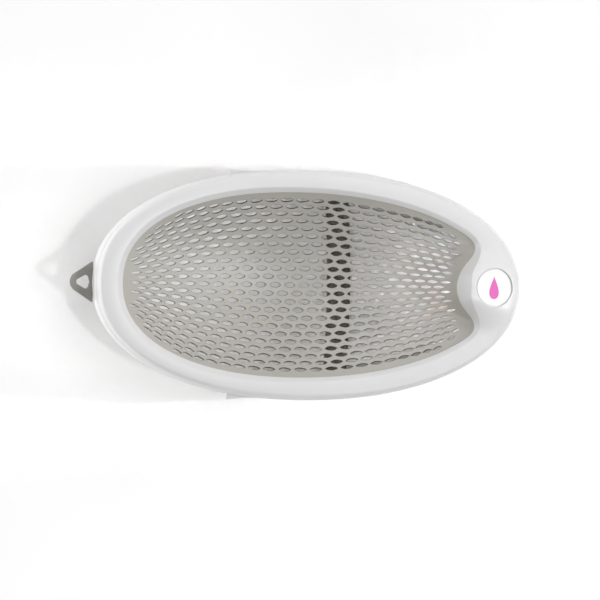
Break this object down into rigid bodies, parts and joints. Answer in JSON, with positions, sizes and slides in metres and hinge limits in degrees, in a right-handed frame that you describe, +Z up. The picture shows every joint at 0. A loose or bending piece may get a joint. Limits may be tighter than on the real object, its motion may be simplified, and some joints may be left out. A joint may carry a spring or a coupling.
{
  "type": "baby bath support",
  "caption": "Reclined oval bath support for a newborn: white moulded rim with a crotch hump, soft perforated net, two side legs, cross beam and a rubber hanging loop.",
  "frame": {"origin": "on the floor under the middle of the bounding box, with the four foot pads standing on z = 0", "axes": "+X from the head end to the foot end with the crotch hump, +Y to the left of someone who lies in it and looks at their feet, +Z up"},
  "size_m": [0.6647, 0.345, 0.2094],
  "materials": {
    "white_plastic": "satin white moulded polypropylene",
    "badge_plastic": "smooth white disc with a plain raised ring",
    "net_elastomer": "matte warm grey thermoplastic elastomer",
    "dark_rubber": "matte dark grey rubber",
    "screw_steel": "stainless steel"
  },
  "bodies": {
    "seat": {"rim_frame": "white_plastic", "net_clamp_ring": "white_plastic", "left_leg": "white_plastic", "right_leg": "white_plastic", "cross_beam": "white_plastic", "badge_disc": "badge_plastic", "seat_net": "net_elastomer", "grip_strip": "dark_rubber", "loop_anchor": "dark_rubber", "foot_pad_left_head": "dark_rubber", "foot_pad_left_foot": "dark_rubber", "foot_pad_right_head": "dark_rubber", "foot_pad_right_foot": "dark_rubber", "clamp_screw_1": "screw_steel", "clamp_screw_2": "screw_steel", "clamp_screw_3": "screw_steel", "clamp_screw_4": "screw_steel", "clamp_screw_5": "screw_steel", "clamp_screw_6": "screw_steel", "clamp_screw_7": "screw_steel", "clamp_screw_8": "screw_steel", "clamp_screw_9": "screw_steel", "clamp_screw_10": "screw_steel", "beam_screw_1": "screw_steel", "beam_screw_2": "screw_steel", "beam_screw_3": "screw_steel", "beam_screw_4": "screw_steel"},
    "loop": {"hanging_loop": "dark_rubber"}
  },
  "joints": [
    {"name": "loop_bend", "type": "hinge", "parent": "seat", "child": "loop", "pos_m": [-0.29802, 0, 0.17504], "axis": [0, 1, 0], "range_deg": [-75, 0], "stiffness_Nm_per_rad": 0.06}
  ]
}
